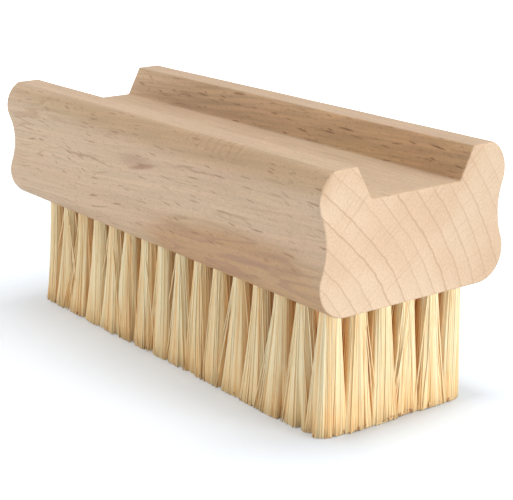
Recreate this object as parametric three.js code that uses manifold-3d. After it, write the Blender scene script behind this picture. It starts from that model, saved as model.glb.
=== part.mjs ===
// Leather cleaning brush: a one-piece beech block with fibre tufts set in drilled holes,
// each tuft folded over a flat-wire anchor that bites into the wood.
// Millimetres, +Z up. X runs along the brush and Y across it. The origin is the middle of
// the area that the brush stands on, so the trimmed fibre tips lie in the plane z = 0.

import * as THREE from 'three';
import { mergeVertices } from 'three/addons/utils/BufferGeometryUtils.js';
import Module from 'manifold-3d';

const wasm = await Module();
wasm.setup();

// Block
const BLOCK_LENGTH = 120;
const BLOCK_WIDTH = 46.6;
const BLOCK_HEIGHT = 28;
const BULGE_RADIUS = 6.4; // round of the long sides above and below the finger scoop
const HORN_TRIM = 0.75; // height that the flat horn tops take off the upper round
const SCOOP_DEPTH = 1.55; // finger scoop along each long side
const HORN_FLAT = 5.5; // width of each flat horn top
const GROOVE_DEPTH = 6.5;
const GROOVE_FLARE = 3.4; // how far each groove wall leans out from floor to mouth
const ARC_STEPS = 6;

// Tuft pattern. The outer tufts keep the margins, and the rest are spread evenly between them.
// The block is drilled slightly off its middle, so the whole pattern sits nearer to the +X end.
const END_MARGIN = 7.85; // block end to the nearest tuft's axis, in a pattern without the shift
const PATTERN_SHIFT = 1.55; // pattern's middle from the block's middle, along +X
const SIDE_MARGIN = 7.8; // block side to the nearest tuft's axis
const COLUMN_PITCH = 7; // spacing along the brush, evened out to fill the span
const ROW_PITCH = 6.2; // spacing across the brush, evened out likewise
const HOLE_DIAMETER = 4.6;
const HOLE_DEPTH = 12;
const HOLE_SIDES = 6;

// Fibre tufts
const FIBRE_LENGTH = 25.5; // free length below the block
const STRANDS_PER_TUFT = 4;
const STRAND_SIDES = 3;
const STRAND_RADIUS = 0.9;
const TIP_SPREAD = 0.5; // how far a strand's tip stands out from its tuft's axis beyond its root
const LEAN_ALONG = 0.4; // outward lean of the end tufts at their tips
const LEAN_ACROSS = 1.2; // outward lean of the side tufts at their tips
const FOLD_THICKNESS = 1.5; // fibre folded over the top of an anchor
const FIELD_COUNT = 4; // tuft fields, side by side along the brush
const SLICE_THICKNESS = 2; // slice of backing that carries the tufts of a field
const SLICE_MARGIN = 0.4; // slice beyond the outer tufts, across the brush

// Anchors of flat wire, one for each tuft, standing end to end across the brush
const ANCHOR_THICKNESS = 0.5;
const ANCHOR_HEIGHT = 2;
const ANCHOR_BITE = 0.7; // how far an anchor's end goes into the wood beside its hole

const CLEARANCE = 0.3; // gap between pieces that sit in one another

const beech = new THREE.MeshStandardMaterial({ color: 0xcfb394, roughness: 0.6, metalness: 0 });
const fibre = new THREE.MeshStandardMaterial({ color: 0xdcc290, roughness: 0.75, metalness: 0 });
const steel = new THREE.MeshStandardMaterial({ color: 0xb9b6ae, roughness: 0.35, metalness: 1 });

const brush = new THREE.Group();

function addPiece(name, geometry, material) {
  const mesh = new THREE.Mesh(geometry, material);
  mesh.name = name;
  brush.add(mesh);
}

function toSolid(geometry) {
  const bare = geometry.clone();
  bare.deleteAttribute('normal');
  bare.deleteAttribute('uv');
  const merged = mergeVertices(bare);
  const vertProperties = new Float32Array(merged.attributes.position.array);
  const triVerts = new Uint32Array(merged.index.array);
  return new wasm.Manifold(new wasm.Mesh({ numProp: 3, vertProperties, triVerts }));
}

function toGeometry(solid) {
  const { vertProperties, triVerts } = solid.getMesh();
  const geometry = new THREE.BufferGeometry();
  geometry.setAttribute('position', new THREE.BufferAttribute(new Float32Array(vertProperties), 3));
  geometry.setIndex(new THREE.BufferAttribute(new Uint32Array(triVerts), 1));
  geometry.computeVertexNormals();
  return geometry;
}

function boxBetween(low, high) {
  const box = new THREE.Box3(new THREE.Vector3(...low), new THREE.Vector3(...high));
  const size = box.getSize(new THREE.Vector3());
  const centre = box.getCenter(new THREE.Vector3());
  return new THREE.BoxGeometry(...size).translate(...centre);
}

// An upright prism on the origin's axis. Its first corner points along +X.
function uprightPrism(radius, sides, bottom, top) {
  const corners = [];
  for (let i = 0; i < sides; i += 1) {
    const angle = (i / sides) * 2 * Math.PI;
    corners.push(new THREE.Vector2(Math.cos(angle), Math.sin(angle)).multiplyScalar(radius));
  }
  const options = { depth: top - bottom, bevelEnabled: false };
  return new THREE.ExtrudeGeometry(new THREE.Shape(corners), options).translate(0, 0, bottom);
}

// Evenly spread places on a line
function spread(span, pitch, middle) {
  const steps = Math.max(1, Math.round(span / pitch));
  const places = [];
  for (let i = 0; i <= steps; i += 1) {
    places.push(middle + (i / steps - 0.5) * span);
  }
  return places;
}

// Heights
const underside = FIBRE_LENGTH;
const hornTop = underside + BLOCK_HEIGHT;
const sliceTop = underside + SLICE_THICKNESS;
const holeTop = underside + HOLE_DEPTH;
const rootTop = holeTop - CLEARANCE;
const anchorTop = rootTop - FOLD_THICKNESS - CLEARANCE;
const anchorBottom = anchorTop - ANCHOR_HEIGHT;

// Places in plan
const columns = spread(BLOCK_LENGTH - 2 * END_MARGIN, COLUMN_PITCH, PATTERN_SHIFT);
const rows = spread(BLOCK_WIDTH - 2 * SIDE_MARGIN, ROW_PITCH, 0);
const endColumn = columns.at(-1) - PATTERN_SHIFT;
const sideRow = rows.at(-1);
const columnStep = columns[1] - columns[0];
const holeRadius = HOLE_DIAMETER / 2;
const sliceHalfWidth = sideRow + holeRadius + SLICE_MARGIN;
const patternHalfLength = endColumn + columnStep / 2;
const anchorHalfLength = sideRow + holeRadius + ANCHOR_BITE;

// Section of the block in Y and Z: on each side two convex rounds joined by a concave scoop,
// with flat horn tops and a flared groove between them
function blockSection() {
  const roundY = BLOCK_WIDTH / 2 - BULGE_RADIUS;
  const lowerZ = underside + BULGE_RADIUS;
  const upperZ = hornTop + HORN_TRIM - BULGE_RADIUS;
  const middleZ = (lowerZ + upperZ) / 2;
  const rise = (upperZ - lowerZ) / 2;
  const waist = BULGE_RADIUS - SCOOP_DEPTH;
  const scoopRadius = (rise ** 2 + waist ** 2 - BULGE_RADIUS ** 2) / (2 * SCOOP_DEPTH);
  const scoopY = roundY + waist + scoopRadius;
  const meet = Math.atan2(rise, scoopY - roundY);
  const trim = Math.asin((hornTop - upperZ) / BULGE_RADIUS);
  const mouthY = roundY + BULGE_RADIUS * Math.cos(trim) - HORN_FLAT;
  const floorY = mouthY - GROOVE_FLARE;
  const floorZ = hornTop - GROOVE_DEPTH;

  const section = new THREE.Shape();
  section.moveTo(-roundY, underside);
  section.absarc(roundY, lowerZ, BULGE_RADIUS, -Math.PI / 2, meet, false);
  section.absarc(scoopY, middleZ, scoopRadius, Math.PI + meet, Math.PI - meet, true);
  section.absarc(roundY, upperZ, BULGE_RADIUS, -meet, trim, false);
  section.lineTo(mouthY, hornTop);
  section.lineTo(floorY, floorZ);
  section.lineTo(-floorY, floorZ);
  section.lineTo(-mouthY, hornTop);
  section.absarc(-roundY, upperZ, BULGE_RADIUS, Math.PI - trim, Math.PI + meet, false);
  section.absarc(-scoopY, middleZ, scoopRadius, meet, -meet, true);
  section.absarc(-roundY, lowerZ, BULGE_RADIUS, Math.PI - meet, 1.5 * Math.PI, false);
  return section;
}

function makeBlock() {
  const options = { depth: BLOCK_LENGTH, bevelEnabled: false, curveSegments: ARC_STEPS };
  const alongX = new THREE.Matrix4().makeBasis(
    new THREE.Vector3(0, 1, 0),
    new THREE.Vector3(0, 0, 1),
    new THREE.Vector3(1, 0, 0),
  );
  const blank = new THREE.ExtrudeGeometry(blockSection(), options);
  blank.applyMatrix4(alongX).translate(-BLOCK_LENGTH / 2, 0, 0);

  // One recess under the block takes the slices of all the tuft fields.
  const recessX = patternHalfLength + CLEARANCE;
  const recessY = sliceHalfWidth + CLEARANCE;
  const recessLow = [PATTERN_SHIFT - recessX, -recessY, underside - CLEARANCE];
  const recessHigh = [PATTERN_SHIFT + recessX, recessY, sliceTop + CLEARANCE];
  let cuts = toSolid(boxBetween(recessLow, recessHigh));

  // Above it are the blind holes, and the tracks that the anchors cut on their way in.
  const trackX = ANCHOR_THICKNESS / 2 + CLEARANCE;
  const trackY = anchorHalfLength + CLEARANCE;
  const hole = uprightPrism(holeRadius, HOLE_SIDES, underside, holeTop);
  for (const x of columns) {
    const trackLow = [x - trackX, -trackY, underside];
    const trackHigh = [x + trackX, trackY, anchorTop + CLEARANCE];
    cuts = cuts.add(toSolid(boxBetween(trackLow, trackHigh)));
    for (const y of rows) {
      cuts = cuts.add(toSolid(hole.clone().translate(x, y, 0)));
    }
  }
  addPiece('wooden_block', toGeometry(toSolid(blank).subtract(cuts)), beech);
}

// The folded root of a tuft, with the eye that its anchor passes through
function makeRoot() {
  const gapAcrossCorner = CLEARANCE / Math.cos(Math.PI / HOLE_SIDES);
  const rootRadius = holeRadius - gapAcrossCorner;
  const rootBottom = underside + SLICE_THICKNESS / 2;
  const root = toSolid(uprightPrism(rootRadius, HOLE_SIDES, rootBottom, rootTop));
  const eyeX = ANCHOR_THICKNESS / 2 + CLEARANCE;
  const eye = boxBetween(
    [-eyeX, -holeRadius, anchorBottom - CLEARANCE],
    [eyeX, holeRadius, anchorTop + CLEARANCE],
  );
  return toGeometry(root.subtract(toSolid(eye)));
}

// A straight strand from inside the slice to the floor, leaning so that its tip lies flat on z = 0.
// The strand's outer corner faces away from its tuft's axis.
function makeStrand(x, y, angle) {
  const strandTop = underside + SLICE_THICKNESS / 2;
  const outX = Math.cos(angle);
  const outY = Math.sin(angle);
  const rootOffset = holeRadius - STRAND_RADIUS;
  const leanX = LEAN_ALONG * ((x - PATTERN_SHIFT) / endColumn) + TIP_SPREAD * outX;
  const leanY = LEAN_ACROSS * (y / sideRow) + TIP_SPREAD * outY;
  const tipX = x + rootOffset * outX + leanX;
  const tipY = y + rootOffset * outY + leanY;
  const lean = new THREE.Matrix4().makeShear(0, 0, 0, 0, -leanX / underside, -leanY / underside);
  const strand = uprightPrism(STRAND_RADIUS, STRAND_SIDES, 0, strandTop);
  return strand.rotateZ(angle).applyMatrix4(lean).translate(tipX, tipY, 0);
}

// A tuft field is a slice of backing with the roots of its tufts above it and their strands below.
function makeTuftField(number, fieldColumns) {
  const sliceStart = fieldColumns[0] - columnStep / 2 + CLEARANCE / 2;
  const sliceEnd = fieldColumns.at(-1) + columnStep / 2 - CLEARANCE / 2;
  const sliceLow = [sliceStart, -sliceHalfWidth, underside];
  const sliceHigh = [sliceEnd, sliceHalfWidth, sliceTop];
  const root = makeRoot();
  let field = toSolid(boxBetween(sliceLow, sliceHigh));
  for (const x of fieldColumns) {
    for (const y of rows) {
      field = field.add(toSolid(root.clone().translate(x, y, 0)));
      for (let i = 0; i < STRANDS_PER_TUFT; i += 1) {
        const angle = (i / STRANDS_PER_TUFT) * 2 * Math.PI;
        field = field.add(toSolid(makeStrand(x, y, angle)));
      }
    }
  }
  addPiece(`tuft_field_${number}`, toGeometry(field), fibre);
}

// The anchors of one column, joined end to end across the brush
function makeAnchorRow(number, x) {
  const halfThickness = ANCHOR_THICKNESS / 2;
  const low = [x - halfThickness, -anchorHalfLength, anchorBottom];
  const high = [x + halfThickness, anchorHalfLength, anchorTop];
  const label = String(number).padStart(2, '0');
  addPiece(`anchor_row_${label}`, boxBetween(low, high), steel);
}

makeBlock();
for (let i = 0; i < FIELD_COUNT; i += 1) {
  const first = Math.round((i / FIELD_COUNT) * columns.length);
  const end = Math.round(((i + 1) / FIELD_COUNT) * columns.length);
  makeTuftField(i + 1, columns.slice(first, end));
}
columns.forEach((x, i) => makeAnchorRow(i + 1, x));

export default brush;
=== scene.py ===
# Leather cleaning brush: a beech block with tufts of pale plant fibre set in drilled holes.
# Sizes are in millimetres where nothing else is said, and turn into metres where meshes are made.
import math

import bpy
import numpy as np
from mathutils import Matrix, Vector, noise


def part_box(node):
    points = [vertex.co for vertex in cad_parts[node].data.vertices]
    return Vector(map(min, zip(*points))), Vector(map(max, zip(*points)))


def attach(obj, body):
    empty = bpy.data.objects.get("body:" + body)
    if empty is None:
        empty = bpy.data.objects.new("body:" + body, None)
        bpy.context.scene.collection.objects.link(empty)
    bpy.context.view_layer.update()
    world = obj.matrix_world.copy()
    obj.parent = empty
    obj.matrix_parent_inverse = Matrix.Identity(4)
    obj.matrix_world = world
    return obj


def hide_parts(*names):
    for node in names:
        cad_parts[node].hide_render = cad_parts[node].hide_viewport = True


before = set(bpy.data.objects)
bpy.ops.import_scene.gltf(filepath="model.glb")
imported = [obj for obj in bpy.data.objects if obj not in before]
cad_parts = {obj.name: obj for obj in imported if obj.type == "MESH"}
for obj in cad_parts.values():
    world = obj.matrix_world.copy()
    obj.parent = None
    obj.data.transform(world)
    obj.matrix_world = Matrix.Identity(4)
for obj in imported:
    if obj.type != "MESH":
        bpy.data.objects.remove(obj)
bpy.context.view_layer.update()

MM = 0.001

# Block, from the frame and the sizes of its section
block_low, block_high = (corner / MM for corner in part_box("wooden_block"))
BLOCK_LENGTH = round(block_high.x - block_low.x, 1)
BLOCK_WIDTH = round(block_high.y - block_low.y, 1)
UNDERSIDE = round(block_low.z, 1)
HORN_TOP = round(block_high.z, 1)
BULGE_RADIUS = 6.4
HORN_TRIM = 0.75
SCOOP_DEPTH = 1.55
HORN_FLAT = 5.5
GROOVE_DEPTH = 6.5
GROOVE_FLARE = 3.4
EDGE_EASE = 0.55  # sanded round of the long edges
END_EASE = 0.35  # sanded round of the end edges
END_FLAT_INSET = 0.47  # where the flat of an end face starts
HAND_WAVE = 0.06  # unevenness left by sanding
WAVE_SIZE = (22, 9)  # of that unevenness, along and across the block
SHARP_ANGLE = math.radians(35)  # sharper edges are not smoothed

# Tuft pattern
END_MARGIN = 7.85
PATTERN_SHIFT = 1.55
SIDE_MARGIN = 7.8
COLUMNS = 16
ROWS = 6
FIELDS = 4  # tuft fields of the solids, each with as many columns
HOLE_RADIUS = 2.0
HOLE_DEPTH = 12

# Fibres
BUNDLE_RADIUS = 1.85  # of a tuft where it leaves the wood
TIP_REACH = (3.6, 3.45)  # from a tuft's axis to the rim of its cut end, along and across the brush
END_REACH = 2.2  # the same for the end tufts, outwards along the brush
SIDE_ORDER = 8.0  # squareness of a cut end's outline, 2 for an ellipse
CORNER_ORDER = 1.7  # the same at the brush's own corners
TIP_LEAN = (-0.14, -0.51)  # how the cut ends lie over, along and across the brush
LEAN_SPREAD = (0.3, 0.15)  # how far single tufts differ from that
TIP_FLARE = 0.37  # how far the tips at the two ends lean outwards
SPREAD_POWER = (1.0, 1.55)  # range of how tufts widen with their free length, 1 for straight sides
FIBRE_STEPS = (0.0, 0.1, 0.2, 0.32, 0.45, 0.58, 0.72, 0.86, 1.0)  # rings of points along a fibre
ROOT_DEPTH = 3  # how far the modelled fibres reach into their hole
TIP_UNEVEN = 0.12  # of the lengths to which the fibres are cut
SEED = 7

# Body of a tuft, its locks and the partings between them
CORE_SIDES = 100  # ribs round the body
CORE_RIB = 0.015  # unevenness of the ribs, as a share of the tuft's width
CORE_LIFT = 0.15  # how far the body stops short of the fibres on it
LOCKS = 22  # strands of like tone and thickness round a tuft
LOCK_TONE = 0.2  # how far the locks differ in tone
LOCK_RELIEF = 0.02  # of the locks, as a share of the tuft's width
NOTCHES = 5  # partings in a tuft's cut end
NOTCH_WIDTH = (0.08, 0.2)  # range of half their width, in radians
NOTCH_DEPTH = (0.05, 0.4)  # range of their depth, as a share of the cut end's reach
NOTCH_START = 0.4  # where the partings begin, as a share of the free length

# Single fibres on the body, and the fibre ends that fill the cut end
FIBRES_PER_TUFT = 80
FIBRE_RADIUS = 0.14
FIBRE_GIRTH = (0.75, 1.25)  # range of the fibres' thickness
FIBRE_SIDES = 4
FIBRE_SINK = 0.035  # how deep a fibre may lie in the body, as a share of the tuft's width
FIBRE_SWAY = 0.12  # how far the fibres drift round the tuft from root to tip, in radians
SWAY_SPREAD = 0.05  # how far single fibres differ from that
FIBRE_BOW = 0.07  # of single fibres half-way down
STRAYS = 18  # single fibres of a tuft that lie across the others
STRAY_SHIFT = 2.7  # how far they wander from root to tip
STRAY_LIFT = 0.03  # how far they stand out, as a share of the tuft's width
ENDS_PER_TUFT = 110
END_LENGTH = 1.2
END_FILL = 0.95  # share of the cut end's reach that the fibre ends fill
END_SCATTER = 0.05  # how far they lie from an even spread
END_UNEVEN = 0.1  # of the heights at which they stop

# Tone of the fibres, from 0 for dark to 1 for cream
FIBRE_TONE = 0.68
CORE_TONE = 0.63
TONE_SPREAD = 0.19
PAINTED_SHADE_DEPTH = (0.6, 3.6)  # where the painted shade inside the brush begins and where it is full

# Anchors
ANCHOR_LENGTH = 5.9
ANCHOR_HEIGHT = 1.9
ANCHOR_THICKNESS = 0.45
ANCHOR_POINT = 0.5  # depth of the pointed ends
ANCHOR_EASE = 0.08  # bevel of the edges
anchor_low, anchor_high = (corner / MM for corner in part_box("anchor_row_01"))
ANCHOR_Z = (anchor_low.z + anchor_high.z) / 2

# Camera, found from the block's outline in the photo
CAMERA_PLACE = Vector((247.0, -175.0, 111.0))
CAMERA_LOOK = Vector((-0.7718, 0.5689, -0.284))
CAMERA_UP = Vector((-0.2239, 0.1749, 0.9588))
CAMERA_LENS = 99.15
CAMERA_SENSOR = 36


# Mesh helpers


def new_object(name, mesh, material):
    mesh.materials.append(material)
    piece = bpy.data.objects.new(name, mesh)
    bpy.context.collection.objects.link(piece)
    return piece


def mesh_from(name, vertices, faces):
    mesh = bpy.data.meshes.new(name)
    mesh.from_pydata([tuple(c * MM for c in v) for v in vertices], [], faces)
    mesh.validate()
    return mesh


def ring_faces(base, rings, count):
    """Faces of a closed skin over rings of points that follow one another from the base on."""
    faces = []
    for ring in range(rings - 1):
        a = base + ring * count
        b = a + count
        for i in range(count):
            j = (i + 1) % count
            faces.append((a + i, a + j, b + j, b + i))
    last = base + (rings - 1) * count
    faces.append(tuple(base + i for i in reversed(range(count))))
    faces.append(tuple(last + i for i in range(count)))
    return faces


def even_places(span, count, middle):
    return [middle + (i / (count - 1) - 0.5) * span for i in range(count)]


column_places = even_places(BLOCK_LENGTH - 2 * END_MARGIN, COLUMNS, PATTERN_SHIFT)
row_places = even_places(BLOCK_WIDTH - 2 * SIDE_MARGIN, ROWS, 0.0)


# Node helpers


class Nodes:
    """A material's node tree, with short ways to add the nodes that the materials here use."""

    def __init__(self, name):
        self.material = bpy.data.materials.new(name)
        self.material.use_nodes = True
        self.tree = self.material.node_tree
        self.shader = self.tree.nodes["Principled BSDF"]

    def add(self, kind, **settings):
        node = self.tree.nodes.new(kind)
        for key, value in settings.items():
            setattr(node, key, value)
        return node

    def plug(self, socket, value):
        if isinstance(value, bpy.types.NodeSocket):
            self.tree.links.new(value, socket)
        else:
            socket.default_value = value

    def math(self, operation, *values, clamp=False):
        node = self.add("ShaderNodeMath", operation=operation, use_clamp=clamp)
        for socket, value in zip(node.inputs, values):
            self.plug(socket, value)
        return node.outputs[0]

    def vector(self, operation, a, b=(0.0, 0.0, 0.0)):
        node = self.add("ShaderNodeVectorMath", operation=operation)
        self.plug(node.inputs[0], a)
        self.plug(node.inputs[1], b)
        return node.outputs["Value" if operation == "LENGTH" else "Vector"]

    def split(self, vector):
        node = self.add("ShaderNodeSeparateXYZ")
        self.plug(node.inputs[0], vector)
        return node.outputs

    def combine(self, x, y, z):
        node = self.add("ShaderNodeCombineXYZ")
        for socket, value in zip(node.inputs, (x, y, z)):
            self.plug(socket, value)
        return node.outputs[0]

    def noise(self, vector, scale=1.0, detail=2.0, colour=False):
        node = self.add("ShaderNodeTexNoise")
        self.plug(node.inputs["Vector"], vector)
        node.inputs["Scale"].default_value = scale
        node.inputs["Detail"].default_value = detail
        return node.outputs["Color" if colour else "Fac"]

    def stretched(self, vector, frequency, detail=2.0, colour=False):
        """Noise with a frequency of its own along each axis."""
        return self.noise(self.vector("MULTIPLY", vector, frequency), detail=detail, colour=colour)

    def smooth(self, value, low, high, to_low=0.0, to_high=1.0):
        node = self.add("ShaderNodeMapRange", interpolation_type="SMOOTHSTEP")
        for socket, number in zip(node.inputs, (value, low, high, to_low, to_high)):
            self.plug(socket, number)
        return node.outputs[0]

    def band(self, value, rise, fall, height=1.0):
        """Rises to the height over one range of the value and falls back to 0 over another."""
        up = self.smooth(value, *rise, 0.0, height)
        return self.math("MULTIPLY", up, self.smooth(value, *fall, 1.0, 0.0))

    def cells(self, vector):
        node = self.add("ShaderNodeTexVoronoi")
        self.plug(node.inputs["Vector"], vector)
        node.inputs["Scale"].default_value = 1.0
        return node.outputs

    def within(self, vector, centre, half_sizes, turn=0.0):
        """Distance from the middle of an ellipsoid, 1 at its surface, turned about Y."""
        node = self.add("ShaderNodeMapping", vector_type="TEXTURE")
        self.plug(node.inputs["Vector"], vector)
        node.inputs["Location"].default_value = centre
        node.inputs["Rotation"].default_value = (0.0, turn, 0.0)
        node.inputs["Scale"].default_value = half_sizes
        return self.vector("LENGTH", node.outputs[0])

    def ramp(self, value, stops):
        node = self.add("ShaderNodeValToRGB")
        self.plug(node.inputs[0], value)
        elements = node.color_ramp.elements
        while len(elements) < len(stops):
            elements.new(1.0)
        for element, (place, colour) in zip(elements, stops):
            element.position = place
            element.color = (*colour, 1.0)
        return node.outputs[0]

    def mix(self, factor, a, b, blend="MIX"):
        node = self.add("ShaderNodeMix", data_type="RGBA", blend_type=blend)
        self.plug(node.inputs["Factor"], factor)
        for socket, value in ((node.inputs[6], a), (node.inputs[7], b)):
            self.plug(socket, (*value, 1.0) if isinstance(value, tuple) else value)
        return node.outputs[2]

    def attribute(self, name):
        return self.add("ShaderNodeAttribute", attribute_name=name).outputs["Fac"]

    def object_mm(self):
        coordinates = self.add("ShaderNodeTexCoord").outputs["Object"]
        return self.vector("MULTIPLY", coordinates, (1 / MM,) * 3)

    def bump(self, height, strength, distance):
        node = self.add("ShaderNodeBump")
        node.inputs["Strength"].default_value = strength
        node.inputs["Distance"].default_value = distance * MM
        self.plug(node.inputs["Height"], height)
        self.plug(self.shader.inputs["Normal"], node.outputs[0])


# Materials

PITH = (-58.0, -1.0)  # Y and Z of the tree's middle, level with the near end
FIRST_RING = 48.5  # radius of the first growth ring that crosses the near end
RING_SPACING = 3.4
RING_UNEVEN = 0.9  # how far the rings' spacing varies, as a share of it
RING_RIPPLE = 0.22  # how wavy the rings are, as a share of their spacing
LATE_WOOD = 0.14  # how far the wood darkens towards the end of a ring
RAY_RADIUS = 65.0  # radius at which the way round the tree is measured
GRAIN_CLIMB = math.tan(math.radians(4.5))  # the grain rises slightly towards the near end
BEECH_PALE = (0.74, 0.552, 0.38)
BEECH_WARM = (0.695, 0.49, 0.324)
BEECH_RING = (0.50, 0.31, 0.185)
BEECH_FLECK = (0.31, 0.165, 0.088)
BEECH_RED = (0.43, 0.245, 0.165)
BEECH_PINK = (0.705, 0.477, 0.336)
BEECH_OLIVE = (0.655, 0.49, 0.31)
STAIN_TINT = (0.84, 0.73, 0.60)  # these tints multiply the wood's colour; the olive band's is partly painted shade, the far groove wall's is painted shade
OLIVE_SHADE_TINT = (0.87, 0.83, 0.75)
WALL_SHADE_TINT = (1.0, 0.90, 0.75)
# Flecks: cell length and width in mm, share of cells with a fleck, tilt in degrees, strength
FLECKS = (
    (10.0, 1.0, 0.7, 0.0, 0.6),
    (6.5, 0.85, 0.8, 8.0, 0.6),
    (3.4, 0.5, 0.9, 3.0, 0.45),
    (17.0, 0.9, 0.5, -4.0, 0.4),
)
WALL_FLECK = (13.0, 1.3, 0.75, 1.0, 0.65)  # the same for the broad flecks of the groove's walls
GROOVE_HALF = 14.4  # from the middle to the groove's mouth
SIDE_Y = -BLOCK_WIDTH / 2 + 1  # the long side that carries the marks
MARK_DEPTH = 5.0  # how deep its marks reach
# Its dark grain lines: middle in X and Z, half the length and thickness, rise in degrees, strength
GRAIN_LINES = (
    (-53.0, 43.3, 8.0, 0.5, 1.0, 0.5),
    (-26.0, 41.3, 19.0, 0.5, 1.8, 0.55),
    (20.0, 46.6, 15.0, 0.45, 2.1, 0.5),
    (43.0, 32.2, 16.0, 0.9, 1.0, 0.5),
)


def grain_place(wood, place):
    """Place in the tree: the grain climbs a little along the block and wanders across it."""
    x, _, _ = wood.split(place)
    climb = wood.math("MULTIPLY_ADD", x, -GRAIN_CLIMB, BLOCK_LENGTH / 2 * GRAIN_CLIMB)
    wander = wood.stretched(place, (0.012, 0.03, 0.03), colour=True)
    wander = wood.vector("MULTIPLY", wood.vector("SUBTRACT", wander, (0.5, 0.5, 0.5)), (0.0, 4.0, 4.0))
    return wood.vector("ADD", wood.vector("ADD", place, wander), wood.combine(0.0, 0.0, climb))


def growth_rings(wood, grain):
    """The thin dark lines at the end of each year's growth, with the place across and round the tree."""
    _, across, up = wood.split(wood.vector("SUBTRACT", grain, (0.0, *PITH)))
    radius = wood.vector("LENGTH", wood.combine(0.0, across, up))
    around = wood.math("MULTIPLY", wood.math("ARCTAN2", up, across), RAY_RADIUS)
    uneven = wood.stretched(wood.combine(radius, 0.0, 0.0), (0.16, 0.0, 0.0), detail=1.0)
    ripple = wood.stretched(grain, (0.05, 0.45, 0.45))
    phase = wood.math("MULTIPLY_ADD", radius, 1 / RING_SPACING, -FIRST_RING / RING_SPACING - 0.5)
    phase = wood.math("MULTIPLY_ADD", uneven, RING_UNEVEN, phase)
    phase = wood.math("MULTIPLY_ADD", ripple, RING_RIPPLE, phase)
    within = wood.math("FRACT", phase)
    year = wood.add("ShaderNodeTexWhiteNoise", noise_dimensions="1D")
    wood.plug(year.inputs["W"], wood.math("FLOOR", phase))
    weight = wood.smooth(year.outputs["Value"], 0.0, 1.0, 0.5, 1.0)
    line = wood.math("MULTIPLY", wood.band(within, (0.82, 0.95), (0.965, 1.0)), weight)
    late = wood.band(within, (0.2, 0.9), (0.96, 1.0), LATE_WOOD)
    return wood.math("MAXIMUM", line, late), radius, around


def ray_dashes(wood, place, length, width, chance, tilt, strength):
    """Short spindles near the grain's direction, one in some cells of the given size."""
    x, _, _ = wood.split(place)
    lift = wood.stretched(place, (0.03, 0.02, 0.04), detail=1.0)
    ragged = wood.noise(place, scale=1.4, detail=1.0)
    shift = wood.math("MULTIPLY_ADD", lift, 9.0, wood.math("MULTIPLY", ragged, 0.25))
    shift = wood.math("MULTIPLY_ADD", x, math.tan(math.radians(tilt)), shift)
    wavy = wood.vector("ADD", place, wood.combine(0.0, 0.0, shift))
    cells = wood.cells(wood.vector("MULTIPLY", wavy, (1 / length, 1 / width, 1 / width)))
    chosen = wood.smooth(wood.split(cells["Color"])[0], 1 - chance, 1.0, 0.0, strength)
    return wood.math("MULTIPLY", wood.smooth(cells["Distance"], 0.1, 0.27, 1.0, 0.0), chosen)


def red_streak(wood, colour, place):
    """A red streak in the middle of the long side, with a weaker halo above it."""
    halo = wood.within(place, (-3.0, SIDE_Y, 44.6), (9.0, MARK_DEPTH, 2.8), math.radians(-8))
    streak = wood.within(place, (-0.3, SIDE_Y, 43.6), (8.6, MARK_DEPTH, 0.8), math.radians(-12.8))
    colour = wood.mix(wood.smooth(halo, 0.2, 1.0, 0.35, 0.0), colour, BEECH_RED)
    return wood.mix(wood.smooth(streak, 0.3, 1.0, 0.75, 0.0), colour, BEECH_RED)


def olive_and_shade_band(wood, colour, place):
    """A duller, olive band along the top of the long side: partly the wood's tone, partly painted shade.
    """
    off = wood.within(place, (15.0, SIDE_Y, 53.0), (110.0, 3.2, 6.5))
    return wood.mix(wood.smooth(off, 0.4, 1.0, 1.0, 0.0), colour, OLIVE_SHADE_TINT, "MULTIPLY")


def sander_waves(wood, colour, place, grain):
    """Short waves across the grain, left by the sander in the olive band."""
    off = wood.within(place, (26.0, SIDE_Y + 1, 52.6), (16.0, 4.0, 2.6))
    along, _, _ = wood.split(grain)
    bend = wood.stretched(grain, (0.25, 0.4, 0.4), detail=1.0)
    wave = wood.math("SINE", wood.math("MULTIPLY_ADD", bend, 9.0, wood.math("MULTIPLY", along, 2.6)))
    wave = wood.math("MULTIPLY", wood.smooth(wave, 0.2, 0.9), wood.smooth(off, 0.4, 1.0, 0.5, 0.0))
    return wood.mix(wave, colour, BEECH_RING)


def curly_stain(wood, colour, place, grain, long_grain):
    """A stain with curly grain, low down at the near end of the long side."""
    off = wood.within(place, (36.0, SIDE_Y, 27.0), (46.0, 14.0, 14.0))
    off = wood.math("MULTIPLY_ADD", wood.stretched(grain, (0.05, 0.2, 0.2)), 0.3, off)
    amount = wood.math("MULTIPLY", wood.smooth(off, 0.7, 1.05, 1.0, 0.0), long_grain)
    colour = wood.mix(amount, colour, STAIN_TINT, "MULTIPLY")
    curl = wood.math("MULTIPLY", wood.stretched(grain, (0.012, 0.14, 0.14)), 9.0)
    line = wood.band(wood.math("FRACT", curl), (0.6, 0.93), (0.95, 1.0), 0.55)
    return wood.mix(wood.math("MULTIPLY", line, amount), colour, BEECH_RED)


def grain_lines(wood, colour, place, long_grain):
    """The dark, slightly wavy grain lines of the long side."""
    ripple = wood.stretched(place, (0.1, 0.0, 0.1), detail=3.0)
    shift = wood.math("MULTIPLY_ADD", ripple, 4.0, -2.0)
    wavy = wood.vector("ADD", place, wood.combine(0.0, 0.0, shift))
    for x, z, half_length, half_thickness, rise, strength in GRAIN_LINES:
        half_sizes = (half_length, MARK_DEPTH, half_thickness)
        off = wood.within(wavy, (x, SIDE_Y, z), half_sizes, -math.radians(rise))
        line = wood.math("MULTIPLY", wood.smooth(off, 0.2, 1.0, strength, 0.0), long_grain)
        colour = wood.mix(line, colour, BEECH_RED)
    return colour


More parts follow.
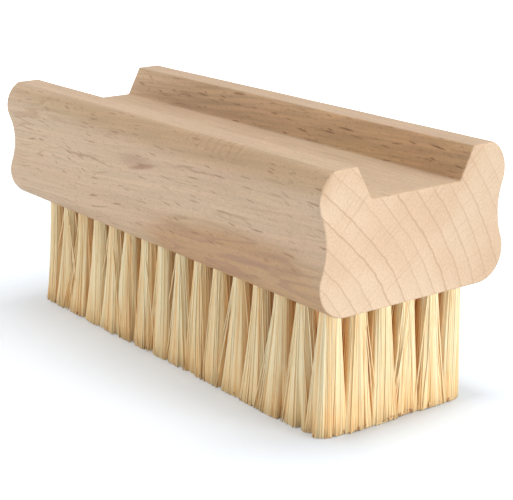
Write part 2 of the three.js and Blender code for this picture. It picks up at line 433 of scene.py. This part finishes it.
def groove_walls(wood, place, normal, long_grain):
    """1 on the groove's walls and on the hidden underside, and how strong the painted shade on the far
    wall is.
    """
    length, across, _ = wood.split(place)
    wall = wood.smooth(wood.math("ABSOLUTE", across), GROOVE_HALF, GROOVE_HALF + 0.6, 1.0, 0.0)
    wall = wood.math("MULTIPLY", wall, wood.smooth(normal[2], 0.7, 0.9, 1.0, 0.0))
    wall = wood.math("MULTIPLY", wall, long_grain)
    far_side = wood.smooth(across, 4.0, 8.0)
    nearness = wood.smooth(length, -50.0, 50.0, 0.3, 1.0)
    return wall, wood.math("MULTIPLY", wall, wood.math("MULTIPLY", far_side, nearness))


def ray_flecks(wood, place, normal, wall, long_grain):
    """All flecks of the long grain: weaker on surfaces that face up, stronger on the groove's walls."""
    fleck = 0.0
    for kind in FLECKS:
        fleck = wood.math("MAXIMUM", fleck, ray_dashes(wood, place, *kind))
    fleck = wood.math("MULTIPLY", fleck, wood.smooth(normal[2], 0.75, 0.95, 1.0, 0.3))
    broad = wood.math("MULTIPLY", ray_dashes(wood, place, *WALL_FLECK), wall)
    fleck = wood.math("MAXIMUM", fleck, broad)
    return wood.math("MULTIPLY", fleck, wood.math("MULTIPLY_ADD", wall, 0.5, long_grain), clamp=True)


def shade_by(wood, factor, colour, value, span, greys):
    """The colour times a grey that goes from the first to the second as the value crosses the span."""
    grey = wood.smooth(value, *span, *greys)
    return wood.mix(factor, colour, wood.combine(grey, grey, grey), "MULTIPLY")


def beech():
    wood = Nodes("beech")
    place = wood.object_mm()
    grain = grain_place(wood, place)
    ring, radius, around = growth_rings(wood, grain)
    along, _, _ = wood.split(grain)
    streak = wood.stretched(grain, (0.02, 1.1, 1.1), detail=4.0)
    patch = wood.stretched(grain, (0.016, 0.06, 0.06), detail=3.0)
    blotch = wood.stretched(grain, (0.05, 0.14, 0.14))
    hairline = wood.stretched(grain, (0.012, 0.3, 0.3), detail=1.0)
    speck = wood.noise(place, scale=2.4, detail=3.0)
    ray = wood.stretched(wood.combine(around, radius, along), (2.2, 0.07, 1.0))
    normal = wood.split(wood.add("ShaderNodeNewGeometry").outputs["Normal"])
    end_grain = wood.smooth(wood.math("ABSOLUTE", normal[0]), 0.6, 0.9)
    long_grain = wood.math("SUBTRACT", 1.0, end_grain)
    wall, painted_wall_shade = groove_walls(wood, place, normal, long_grain)
    fleck = ray_flecks(wood, place, normal, wall, long_grain)

    colour = wood.mix(wood.smooth(patch, 0.36, 0.66), BEECH_PALE, BEECH_WARM)
    tint = wood.ramp(blotch, [(0.3, BEECH_PINK), (0.5, BEECH_WARM), (0.7, BEECH_OLIVE)])
    colour = wood.mix(wood.math("MULTIPLY", long_grain, 0.4), colour, tint)
    colour = shade_by(wood, long_grain, colour, streak, (0.3, 0.7), (0.92, 1.05))
    colour = shade_by(wood, 1.0, colour, speck, (0.35, 0.65), (0.94, 1.04))
    colour = shade_by(wood, 1.0, colour, radius, (55.0, 90.0), (1.0, 0.92))
    colour = red_streak(wood, colour, place)
    colour = olive_and_shade_band(wood, colour, place)
    colour = sander_waves(wood, colour, place, grain)
    colour = curly_stain(wood, colour, place, grain, long_grain)
    colour = grain_lines(wood, colour, place, long_grain)
    # Painted shade on the far groove wall, stronger towards the near end.
    colour = wood.mix(painted_wall_shade, colour, WALL_SHADE_TINT, "MULTIPLY")
    colour = shade_by(wood, wall, colour, streak, (0.35, 0.65), (0.94, 1.06))
    ring = wood.math("MULTIPLY", ring, wood.smooth(end_grain, 0.0, 1.0, 0.15, 0.66))
    colour = wood.mix(ring, colour, BEECH_RING)
    ray = wood.math("MULTIPLY", wood.smooth(ray, 0.56, 0.7, 0.0, 0.3), end_grain)
    colour = wood.mix(ray, colour, BEECH_RING)
    off_line = wood.math("ABSOLUTE", wood.math("SUBTRACT", hairline, 0.5))
    hairline = wood.math("MULTIPLY", wood.smooth(off_line, 0.004, 0.016, 0.55, 0.0), long_grain)
    hairline = wood.math("MULTIPLY", hairline, wood.smooth(blotch, 0.45, 0.6))
    colour = wood.mix(hairline, colour, BEECH_RING)
    colour = wood.mix(fleck, colour, BEECH_FLECK)
    wood.plug(wood.shader.inputs["Base Color"], colour)

    wood.plug(wood.shader.inputs["Roughness"], wood.smooth(streak, 0.25, 0.75, 0.55, 0.7))
    wood.shader.inputs["Specular IOR Level"].default_value = 0.25
    ripple = wood.math("SINE", wood.math("MULTIPLY_ADD", patch, 40.0, wood.math("MULTIPLY", along, 4.0)))
    ripple = wood.math("MULTIPLY", ripple, wood.smooth(patch, 0.5, 0.62, 0.0, 0.12))
    height = wood.math("MULTIPLY_ADD", streak, 0.6, wood.math("MULTIPLY", ripple, long_grain))
    height = wood.math("MULTIPLY_ADD", fleck, -0.25, height)
    height = wood.math("MULTIPLY_ADD", speck, 0.3, height)
    wood.bump(height, 0.3, 0.1)
    return wood.material


FIBRE_DARK = (0.96, 0.61, 0.26)
FIBRE_STRAW = (0.98, 0.745, 0.42)
FIBRE_CREAM = (0.99, 0.875, 0.59)
TIP_TINT = (0.96, 0.86, 0.74)  # multiplies the colour towards the cut ends
FIBRE_BROWN = (0.43, 0.19, 0.085)  # spots at the cut ends
FIBRE_PAINTED_SHADE = (0.99, 0.57, 0.21)  # painted shade: the warm, darker colour of light that reaches the brush's inside by way of other fibres


def plant_fibre():
    fibre = Nodes("plant_fibre")
    tone = fibre.attribute("tone")
    along = fibre.attribute("along")
    place = fibre.object_mm()
    mottle = fibre.stretched(place, (2.5, 2.5, 0.25))
    mixed = fibre.math("ADD", tone, fibre.smooth(mottle, 0.3, 0.7, -0.12, 0.12), clamp=True)
    colour = fibre.ramp(mixed, [(0.0, FIBRE_DARK), (0.45, FIBRE_STRAW), (1.0, FIBRE_CREAM)])
    # Painted shade: fibres inside the brush take the warm, darker colour of light that reaches them by way
    # of other fibres, fading out at the cut ends.
    deep = fibre.math("MULTIPLY", fibre.attribute("inside"), fibre.smooth(along, 0.85, 1.0, 0.9, 0.0))
    colour = fibre.mix(deep, colour, FIBRE_PAINTED_SHADE)
    colour = fibre.mix(fibre.smooth(along, 0.5, 1.0), colour, TIP_TINT, "MULTIPLY")
    spots = fibre.stretched(place, (0.85, 0.85, 0.4), detail=1.0)
    spots = fibre.smooth(spots, 0.64, 0.7, 0.0, 0.7)
    spots = fibre.math("MULTIPLY", spots, fibre.smooth(along, 0.95, 0.975))
    colour = fibre.mix(spots, colour, FIBRE_BROWN)
    fibre.plug(fibre.shader.inputs["Base Color"], colour)
    fibre.plug(fibre.shader.inputs["Roughness"], fibre.smooth(mottle, 0.3, 0.7, 0.5, 0.65))
    fibre.shader.inputs["Specular IOR Level"].default_value = 0.25
    ribs = fibre.stretched(place, (14.0, 14.0, 0.6))
    fibre.bump(ribs, 0.2, 0.03)
    return fibre.material


WIRE_GREY = (0.56, 0.55, 0.52)
WIRE_DULL = (0.36, 0.35, 0.33)


def anchor_wire():
    wire = Nodes("anchor_wire")
    place = wire.object_mm()
    drawn = wire.stretched(place, (9.0, 0.4, 9.0), detail=3.0)
    spots = wire.noise(place, scale=1.6, detail=3.0)
    colour = wire.mix(wire.smooth(spots, 0.45, 0.7), WIRE_GREY, WIRE_DULL)
    wire.plug(wire.shader.inputs["Base Color"], colour)
    wire.shader.inputs["Metallic"].default_value = 1.0
    wire.plug(wire.shader.inputs["Roughness"], wire.smooth(drawn, 0.3, 0.7, 0.28, 0.5))
    wire.bump(drawn, 0.2, 0.03)
    return wire.material


# Block


def arc(centre, radius, start, end, steps):
    """Points on an arc, its ends included."""
    points = []
    for i in range(steps + 1):
        angle = start + (end - start) * i / steps
        points.append((centre[0] + radius * math.cos(angle), centre[1] + radius * math.sin(angle)))
    return points


def eased_corner(before, corner, after, radius, steps=5):
    """Points that round a corner of an outline, with one support point on each straight beside it."""
    corner = Vector(corner)
    back = (Vector(before) - corner).normalized()
    ahead = (Vector(after) - corner).normalized()
    half = back.angle(ahead) / 2
    reach = radius / math.tan(half)
    centre = corner + (back + ahead).normalized() * (radius / math.sin(half))
    first = corner + back * reach - centre
    last = corner + ahead * reach - centre
    turn = first.angle_signed(last)
    points = [corner + back * (reach + radius / 2)]
    for i in range(steps + 1):
        swing = Matrix.Rotation(-turn * i / steps, 2)
        points.append(centre + swing @ first)
    points.append(corner + ahead * (reach + radius / 2))
    return [tuple(p) for p in points]


def block_outline():
    """The block's section in Y and Z, anticlockwise, as in the solid but with its edges eased."""
    round_y = BLOCK_WIDTH / 2 - BULGE_RADIUS
    lower_z = UNDERSIDE + BULGE_RADIUS
    upper_z = HORN_TOP + HORN_TRIM - BULGE_RADIUS
    rise = (upper_z - lower_z) / 2
    waist = BULGE_RADIUS - SCOOP_DEPTH
    scoop_radius = (rise**2 + waist**2 - BULGE_RADIUS**2) / (2 * SCOOP_DEPTH)
    scoop_y = round_y + waist + scoop_radius
    meet = math.atan2(rise, scoop_y - round_y)
    trim = math.asin((HORN_TOP - upper_z) / BULGE_RADIUS)
    middle_z = (lower_z + upper_z) / 2

    lower = arc((round_y, lower_z), BULGE_RADIUS, -math.pi / 2, meet, 22)
    scoop = arc((scoop_y, middle_z), scoop_radius, math.pi + meet, math.pi - meet, 18)
    upper = arc((round_y, upper_z), BULGE_RADIUS, -meet, trim, 18)
    mouth = (upper[-1][0] - HORN_FLAT, HORN_TOP)
    floor = (mouth[0] - GROOVE_FLARE, HORN_TOP - GROOVE_DEPTH)

    half = lower + scoop[1:] + upper[1:-1]
    half += eased_corner(upper[-2], upper[-1], mouth, EDGE_EASE)
    half += eased_corner(upper[-1], mouth, floor, EDGE_EASE)
    half += eased_corner(mouth, floor, (0.0, floor[1]), EDGE_EASE)
    return half + [(-y, z) for y, z in reversed(half)]


def inward_normals(outline):
    normals = []
    count = len(outline)
    for i in range(count):
        before = Vector(outline[i - 1])
        after = Vector(outline[(i + 1) % count])
        run = (after - before).normalized()
        normals.append(Vector((-run.y, run.x)))
    return normals


def block_rings():
    """Places along the block and how far the outline draws in there, so that the ends are eased."""
    half = BLOCK_LENGTH / 2
    ease_steps = 4
    body_steps = 40
    eased = []
    for i in range(ease_steps + 1):
        angle = math.pi / 2 * i / ease_steps
        eased.append((half - END_EASE * (1 - math.sin(angle)), END_EASE * (1 - math.cos(angle))))
    cap = [(half, END_FLAT_INSET)]
    start = [(-x, inset) for x, inset in reversed(eased + cap)]
    inner = half - END_EASE
    body = [(-inner + 2 * inner * i / body_steps, 0.0) for i in range(1, body_steps)]
    return start + body + eased + cap


def block_mesh():
    outline = block_outline()
    normals = inward_normals(outline)
    vertices = []
    rings = block_rings()
    for x, inset in rings:
        for (y, z), normal in zip(outline, normals):
            place = Vector((x / WAVE_SIZE[0], y / WAVE_SIZE[1], z / WAVE_SIZE[1]))
            wave = HAND_WAVE * noise.noise(place)
            point = Vector((y, z)) + normal * (inset + wave)
            vertices.append((x, point.x, point.y))
    return mesh_from("wooden_block_fine", vertices, ring_faces(0, len(rings), len(outline)))


def hole_cutters():
    """All drilled holes as one mesh of separate closed cylinders."""
    sides = 20
    vertices = []
    faces = []
    for x in column_places:
        for y in row_places:
            faces += ring_faces(len(vertices), 2, sides)
            circle = arc((x, y), HOLE_RADIUS, 0.0, 2 * math.pi, sides)[:-1]
            for z in (UNDERSIDE - 1, UNDERSIDE + HOLE_DEPTH):
                vertices += [(*point, z) for point in circle]
    return mesh_from("hole_cutters", vertices, faces)


def make_block(material):
    block = new_object("wooden_block_fine", block_mesh(), material)
    cutter = new_object("hole_cutters", hole_cutters(), material)
    drill = block.modifiers.new("drill", "BOOLEAN")
    drill.object = cutter
    drill.operation = "DIFFERENCE"
    drill.solver = "EXACT"
    bpy.context.view_layer.update()
    result = block.evaluated_get(bpy.context.evaluated_depsgraph_get())
    drilled = bpy.data.meshes.new_from_object(result)
    block.modifiers.clear()
    block.data = drilled
    bpy.data.objects.remove(cutter)
    drilled.shade_smooth()
    drilled.set_sharp_from_angle(angle=SHARP_ANGLE)
    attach(block, "root")
    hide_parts("wooden_block")


# Tufts


def smooth_step(value, low, high):
    share = np.clip((value - low) / (high - low), 0, 1)
    return share * share * (3 - 2 * share)


def heading(angle):
    return np.stack([np.cos(angle), np.sin(angle)], axis=-1)


def cut_end(angle, outward):
    """Outline of a tuft's cut end round its axis: an oblong, rounder at the brush's own corners."""
    way = heading(angle)
    out_x = way[:, 0] * outward[0] > 0
    out_y = way[:, 1] * outward[1] > 0
    half_x = np.where(out_x, END_REACH, TIP_REACH[0])
    order = np.where(out_x & out_y, CORNER_ORDER, SIDE_ORDER)
    size = np.abs(way[:, 0] / half_x) ** order + np.abs(way[:, 1] / TIP_REACH[1]) ** order
    return way * (size ** (-1 / order))[:, None]


def partings(rng):
    """Angle, width and depth of the notches that part a tuft's cut end into locks."""
    angle = rng.uniform(0, 2 * math.pi, NOTCHES)
    width = rng.uniform(*NOTCH_WIDTH, NOTCHES)
    depth = rng.uniform(*NOTCH_DEPTH, NOTCHES)
    return angle, width, depth


def parting_depth(angle, notches):
    """How deep the notches are at these angles, as a share of the cut end's reach."""
    middle, width, depth = notches
    off = (angle[:, None] - middle[None] + math.pi) % (2 * math.pi) - math.pi
    return (depth * np.exp(-((off / width) ** 2))).max(axis=1)


def lock_value(angle, tuft):
    """The value of the lock of fibres at these angles, about 0 with a spread of 1."""
    values = tuft["locks"]
    place = angle / (2 * math.pi) * LOCKS % LOCKS
    return np.interp(place, np.arange(LOCKS + 1), np.append(values, values[0]))


def side_lines(tuft, root_angle, tip_angle, width, end_z):
    """Lines down a tuft's side from root to cut end, as an array of line, ring and (x, y, z)."""
    start_z = UNDERSIDE + ROOT_DEPTH
    z = start_z + (end_z[:, None] - start_z) * np.array(FIBRE_STEPS)[None]
    free = np.clip((UNDERSIDE - z) / UNDERSIDE, 0, 1)
    spread = (free ** tuft["spread"])[..., None]
    notch = parting_depth(tip_angle, tuft["notches"])
    parted = 1 - notch[:, None] * smooth_step(free, NOTCH_START, 1.0)
    root = BUNDLE_RADIUS * heading(root_angle)[:, None]
    tip = cut_end(tip_angle, tuft["outward"])[:, None] * parted[..., None]
    plan = (root + (tip - root) * spread) * width[:, None, None] + tuft["lean"] * spread
    return np.concatenate([plan, z[..., None]], axis=2)


def core_points(tuft, angle, rng):
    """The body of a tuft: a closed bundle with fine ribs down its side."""
    width = 1 + rng.normal(0, CORE_RIB, CORE_SIDES) + LOCK_RELIEF * lock_value(angle, tuft)
    end_z = CORE_LIFT + np.abs(rng.normal(0, TIP_UNEVEN, CORE_SIDES))
    return side_lines(tuft, angle, angle, width, end_z).transpose(1, 0, 2).reshape(-1, 3)


def tubes(paths, radius, rng):
    """Points of thin tubes along these paths, ring by ring."""
    spin = rng.uniform(0, 2 * math.pi, len(paths))
    angle = spin[:, None] + 2 * math.pi * np.arange(FIBRE_SIDES)[None] / FIBRE_SIDES
    circle = np.concatenate([heading(angle), np.zeros((*angle.shape, 1))], axis=2)
    return (paths[:, :, None] + circle[:, None] * radius[:, None, None, None]).reshape(-1, 3)


def fibre_points(tuft, angle, radius, rng):
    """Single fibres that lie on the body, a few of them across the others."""
    count = len(angle)
    sway = FIBRE_SWAY * np.sin(3 * angle + rng.uniform(0, 2 * math.pi))
    sway = sway + rng.normal(0, SWAY_SPREAD, count)
    width = 1 + rng.uniform(-FIBRE_SINK, 0.0, count) + LOCK_RELIEF * lock_value(angle, tuft)
    end_z = np.abs(rng.normal(0, TIP_UNEVEN, count))
    strays = rng.choice(count, STRAYS, replace=False)
    width[strays] += STRAY_LIFT
    paths = side_lines(tuft, angle, angle + sway, width, end_z)
    drop = np.clip((UNDERSIDE - paths[:, :, 2:]) / UNDERSIDE, 0, 1)
    across = rng.normal(0, FIBRE_BOW, (count, 1, 2)) * np.sin(math.pi * drop)
    faced = np.abs(tuft["outward"])
    shift = rng.normal(0, STRAY_SHIFT, (STRAYS, 1, 2)) * (1 - faced) * faced[::-1]
    across[strays] += shift * drop[strays]
    paths[..., :2] += across
    return tubes(paths, radius, rng)


def end_points(tuft, radius, rng):
    """Short fibre ends all over the cut end."""
    index = np.arange(ENDS_PER_TUFT)
    angle = (index * math.pi * (3 - math.sqrt(5)) + rng.uniform(0, 2 * math.pi)) % (2 * math.pi)
    share = END_FILL * np.sqrt((index + 0.5) / ENDS_PER_TUFT)
    share = share * (1 - parting_depth(angle, tuft["notches"]))
    plan = cut_end(angle, tuft["outward"]) * share[:, None] + tuft["lean"]
    plan = plan + rng.normal(0, END_SCATTER, plan.shape)
    low = np.abs(rng.normal(0, END_UNEVEN, ENDS_PER_TUFT))
    paths = [np.column_stack([plan, z]) for z in (np.full(ENDS_PER_TUFT, END_LENGTH), low)]
    return tubes(np.stack(paths, axis=1), radius, rng)


def tube_faces(rings, sides):
    """Four-sided faces of a tube with both ends closed."""
    faces = []
    for r in range(rings - 1):
        for s in range(sides):
            t = (s + 1) % sides
            a = r * sides
            faces.append((a + t, a + s, a + sides + s, a + sides + t))
    last = (rings - 1) * sides
    for s in range(sides // 2 - 1):
        cap = (s, s + 1, sides - 2 - s, sides - 1 - s)
        faces.append(cap)
        faces.append(tuple(last + i for i in reversed(cap)))
    return np.array(faces)


def tuft_faces():
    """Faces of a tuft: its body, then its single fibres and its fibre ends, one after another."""
    rings = len(FIBRE_STEPS)
    faces = [tube_faces(rings, CORE_SIDES)]
    base = rings * CORE_SIDES
    for count, length in ((FIBRES_PER_TUFT, rings), (ENDS_PER_TUFT, 2)):
        starts = base + np.arange(count) * length * FIBRE_SIDES
        tube = tube_faces(length, FIBRE_SIDES)
        faces.append((tube[None] + starts[:, None, None]).reshape(-1, 4))
        base += count * length * FIBRE_SIDES
    return np.concatenate(faces)


def painted_shade_mask(points, free):
    """0 at the outer faces of the tuft field, rising to 1 a few millimetres inside it: the mask of the
    fibres' painted shade.
    """
    half_x = (column_places[-1] - column_places[0]) / 2 + BUNDLE_RADIUS
    half_y = row_places[-1] + BUNDLE_RADIUS
    widening = (TIP_REACH[1] - BUNDLE_RADIUS) * free
    depth_x = half_x + widening - np.abs(points[:, 0] - PATTERN_SHIFT)
    depth_y = half_y + widening - np.abs(points[:, 1])
    return smooth_step(np.minimum(depth_x, depth_y), *PAINTED_SHADE_DEPTH)


def tuft_mesh(name, place, outward, rng, faces):
    half_length = column_places[-1] - PATTERN_SHIFT
    flare = TIP_FLARE * (place[0] - PATTERN_SHIFT) / half_length
    tuft = {
        "outward": np.array(outward),
        "notches": partings(rng),
        "locks": rng.normal(0, 1, LOCKS),
        "spread": rng.uniform(*SPREAD_POWER),
        "lean": np.array(TIP_LEAN) + (flare, 0.0) + rng.normal(0, LEAN_SPREAD),
    }
    rings = len(FIBRE_STEPS)
    strands = FIBRES_PER_TUFT + ENDS_PER_TUFT
    radius = FIBRE_RADIUS * rng.uniform(*FIBRE_GIRTH, strands)
    core_angle = 2 * math.pi * np.arange(CORE_SIDES) / CORE_SIDES
    order = np.arange(FIBRES_PER_TUFT) + rng.uniform(0, 1, FIBRES_PER_TUFT)
    angle = 2 * math.pi * order / FIBRES_PER_TUFT
    core = core_points(tuft, core_angle, rng)
    fibres = fibre_points(tuft, angle, radius[:FIBRES_PER_TUFT], rng)
    ends = end_points(tuft, radius[FIBRES_PER_TUFT:], rng)
    points = np.concatenate([core, fibres, ends]) + (*place, 0.0)
    mesh = mesh_from(name, points, faces)
    mesh.shade_smooth()

    lengths = np.repeat([rings * FIBRE_SIDES, 2 * FIBRE_SIDES], [FIBRES_PER_TUFT, ENDS_PER_TUFT])
    free = np.clip((UNDERSIDE - points[:, 2]) / UNDERSIDE, 0, 1)
    tone = rng.normal(FIBRE_TONE, TONE_SPREAD, strands)
    tone[:FIBRES_PER_TUFT] += LOCK_TONE * lock_value(angle, tuft)
    core_tone = rng.normal(CORE_TONE, TONE_SPREAD, CORE_SIDES)
    core_tone += LOCK_TONE * lock_value(core_angle, tuft)
    layers = {
        "tone": np.clip(np.append(np.tile(core_tone, rings), np.repeat(tone, lengths)), 0, 1),
        "along": free,
        # how far inside the tuft field a point lies, the mask of the fibres' painted shade
        "inside": painted_shade_mask(points, free),
    }
    for label, values in layers.items():
        layer = mesh.attributes.new(label, "FLOAT", "POINT")
        layer.data.foreach_set("value", values.astype(np.float32))
    return mesh


def make_tufts(material):
    faces = tuft_faces()
    for c, x in enumerate(column_places):
        field = f"tuft_field_{c * FIELDS // COLUMNS + 1}"
        for r, y in enumerate(row_places):
            name = f"tuft_{c + 1:02d}_{r + 1}"
            outward = ((c == COLUMNS - 1) - (c == 0), (r == ROWS - 1) - (r == 0))
            rng = np.random.default_rng(SEED + c * ROWS + r)
            tuft = new_object(name, tuft_mesh(name, (x, y), outward, rng, faces), material)
            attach(tuft, "root")
            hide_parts(field)


# Anchors


def anchor_outline():
    """A short flat wire seen from its broad side, in Y and Z, cut to a point at both ends."""
    half_length = ANCHOR_LENGTH / 2
    half_height = ANCHOR_HEIGHT / 2
    shoulder = half_length - ANCHOR_POINT
    right = [(shoulder, -half_height), (half_length, 0.0), (shoulder, half_height)]
    return right + [(-y, -z) for y, z in right]


def make_anchors(material):
    outline = anchor_outline()
    for c, x in enumerate(column_places):
        vertices = []
        faces = []
        for y in row_places:
            faces += ring_faces(len(vertices), 2, len(outline))
            for side in (-1, 1):
                for dy, dz in outline:
                    vertices.append((x + side * ANCHOR_THICKNESS / 2, y + dy, ANCHOR_Z + dz))
        name = f"anchors_{c + 1:02d}"
        anchors = new_object(name, mesh_from(name, vertices, faces), material)
        ease = anchors.modifiers.new("worn edges", "BEVEL")
        ease.width = ANCHOR_EASE * MM
        ease.segments = 2
        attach(anchors, "root")
        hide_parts(f"anchor_row_{c + 1:02d}")


# Stage

FLOOR_SIZE = 6.0  # in metres
FLOOR_COLOUR = (0.72, 0.78, 0.855)  # cool, which makes up for the warm light that the brush throws on it
GLOW_COLOUR = (0.97, 0.985, 1.0)
# Glow of the floor, in sight and in reflections only: under the brush, round it and far off. The low glow
# under and round the brush is a painted shadow.
GLOW = (0.05, 0.48, 1.36)
GLOW_ROUND = 10.0  # how fast the glow rises away from the brush
GLOW_FAR = (60.0, 400.0)  # where the far glow begins and where it is full
PAINTED_SHADOW_PATCH = (51.0, 17.0)  # half the length and width of the patch that glows least, a painted shadow round the brush
PAINTED_SHADOW_MIDDLE = (6.0, 4.0)

WORLD_LIGHT = 0.46
LAMP_AIM = Vector((0.0, 0.0, 30.0))
# Lamps: the way to each one, its distance, width and height in mm, its power in watts
LAMPS = {
    "key": ((0.94, 0.34, 0.12), 750.0, 340.0, 320.0, 3.65),
    "top": ((0.08, 0.36, 0.93), 750.0, 600.0, 600.0, 2.8),
    "fill": ((-0.4, -0.9, 0.06), 750.0, 700.0, 160.0, 1.9),
}


def seen_rays(tree):
    """1 for rays that show the stage to the camera, straight or by way of gloss or glass."""
    path = tree.nodes.new("ShaderNodeLightPath").outputs
    seen = path["Is Camera Ray"]
    for other in ("Is Glossy Ray", "Is Transmission Ray"):
        either = tree.nodes.new("ShaderNodeMath")
        either.operation = "MAXIMUM"
        tree.links.new(seen, either.inputs[0])
        tree.links.new(path[other], either.inputs[1])
        seen = either.outputs[0]
    return seen


def make_floor():
    paper = Nodes("pale_floor")
    paper.shader.inputs["Base Color"].default_value = (*FLOOR_COLOUR, 1.0)
    paper.shader.inputs["Roughness"].default_value = 0.9
    paper.shader.inputs["Specular IOR Level"].default_value = 0.0
    paper.shader.inputs["Emission Color"].default_value = (*GLOW_COLOUR, 1.0)
    x, y, _ = paper.split(paper.object_mm())
    # The glow dips under and round the brush as a painted shadow and whitens the floor further off.
    beyond = []
    for value, half, middle in zip((x, y), PAINTED_SHADOW_PATCH, PAINTED_SHADOW_MIDDLE):
        off = paper.math("ABSOLUTE", paper.math("SUBTRACT", value, middle))
        beyond.append(paper.math("MAXIMUM", paper.math("SUBTRACT", off, half), 0.0))
    away = paper.vector("LENGTH", paper.combine(*beyond, 0.0))
    fade = paper.math("EXPONENT", paper.math("MULTIPLY", away, -1 / GLOW_ROUND))
    glow = paper.math("MULTIPLY_ADD", fade, GLOW[0] - GLOW[1], GLOW[1])
    glow = paper.math("ADD", glow, paper.smooth(away, *GLOW_FAR, 0.0, GLOW[2] - GLOW[1]))
    glow = paper.math("MULTIPLY", glow, seen_rays(paper.tree))
    paper.plug(paper.shader.inputs["Emission Strength"], glow)
    half = FLOOR_SIZE / 2 / MM
    corners = [(-half, -half, 0), (half, -half, 0), (half, half, 0), (-half, half, 0)]
    floor = new_object("floor", mesh_from("floor", corners, [(0, 1, 2, 3)]), paper.material)


def make_world():
    world = bpy.data.worlds.new("studio")
    world.use_nodes = True
    bpy.context.scene.world = world
    tree = world.node_tree
    background = tree.nodes["Background"]
    background.inputs["Color"].default_value = (1.0, 1.0, 1.0, 1.0)
    level = tree.nodes.new("ShaderNodeMapRange")
    tree.links.new(seen_rays(tree), level.inputs[0])
    level.inputs["To Min"].default_value = WORLD_LIGHT
    level.inputs["To Max"].default_value = 1.0
    tree.links.new(level.outputs[0], background.inputs["Strength"])


def make_lamps():
    for name, (way, distance, width, height, power) in LAMPS.items():
        light = bpy.data.lights.new(name, "AREA")
        light.shape = "ELLIPSE"
        light.size = width * MM
        light.size_y = height * MM
        light.energy = power
        lamp = bpy.data.objects.new(name, light)
        lamp.location = (LAMP_AIM + Vector(way).normalized() * distance) * MM
        lamp.rotation_euler = Vector(way).to_track_quat("Z", "Y").to_euler()
        bpy.context.collection.objects.link(lamp)


def make_camera():
    camera = bpy.data.objects.new("camera", bpy.data.cameras.new("camera"))
    back = -CAMERA_LOOK.normalized()
    right = CAMERA_UP.cross(back).normalized()
    up = back.cross(right)
    turn = Matrix((right, up, back)).transposed()
    camera.matrix_world = Matrix.Translation(CAMERA_PLACE * MM) @ turn.to_4x4()
    camera.data.lens = CAMERA_LENS
    camera.data.sensor_width = CAMERA_SENSOR
    camera.data.clip_start = 0.01
    camera.data.clip_end = 20.0
    bpy.context.collection.objects.link(camera)
    bpy.context.scene.camera = camera


make_camera()
make_block(beech())
make_tufts(plant_fibre())
make_anchors(anchor_wire())
make_floor()
make_world()
make_lamps()
bpy.context.scene.view_settings.view_transform = "Standard"
